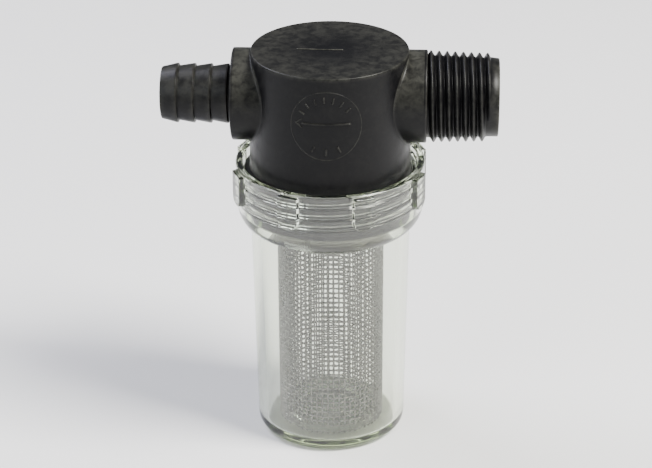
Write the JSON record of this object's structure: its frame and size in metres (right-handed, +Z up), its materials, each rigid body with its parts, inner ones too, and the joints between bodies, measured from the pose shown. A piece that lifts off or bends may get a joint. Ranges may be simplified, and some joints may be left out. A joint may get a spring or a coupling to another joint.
{
  "type": "in-line basket strainer",
  "caption": "In-line basket strainer with a threaded inlet, a hose barb outlet and a clear screw-off bowl over a woven wire screen.",
  "frame": {"origin": "middle of the flat foot of the bowl, on the bowl's axis", "axes": "+Z up along the bowl's axis to the closed top of the head, +X along the ports towards the threaded inlet, -Y towards the side with the flow mark"},
  "size_m": [0.0762, 0.0442, 0.0952],
  "materials": {
    "black_plastic": "moulded satin",
    "clear_plastic": "clear polished",
    "black_rubber": "matte",
    "stainless_steel": "bright wire"
  },
  "bodies": {
    "head_body": {"head": "black_plastic"},
    "screen_body": {"screen_mesh": "stainless_steel", "screen_top_ring": "stainless_steel"},
    "bowl_body": {"bowl": "clear_plastic", "bowl_gasket": "black_rubber"}
  },
  "joints": [
    {"name": "bowl_travel", "type": "slide", "parent": "head_body", "child": "screen_body", "axis": [0, 0, -1], "range_m": [0, 0.00815]},
    {"name": "bowl_turn", "type": "hinge", "parent": "screen_body", "child": "bowl_body", "pos_m": [0, 0, 0.0638], "axis": [0, 0, -1], "range_deg": [0, 1080]}
  ],
  "couplings": [
    {"joint": "bowl_travel", "follows": "bowl_turn", "m_per_rad": 0.00042972}
  ]
}
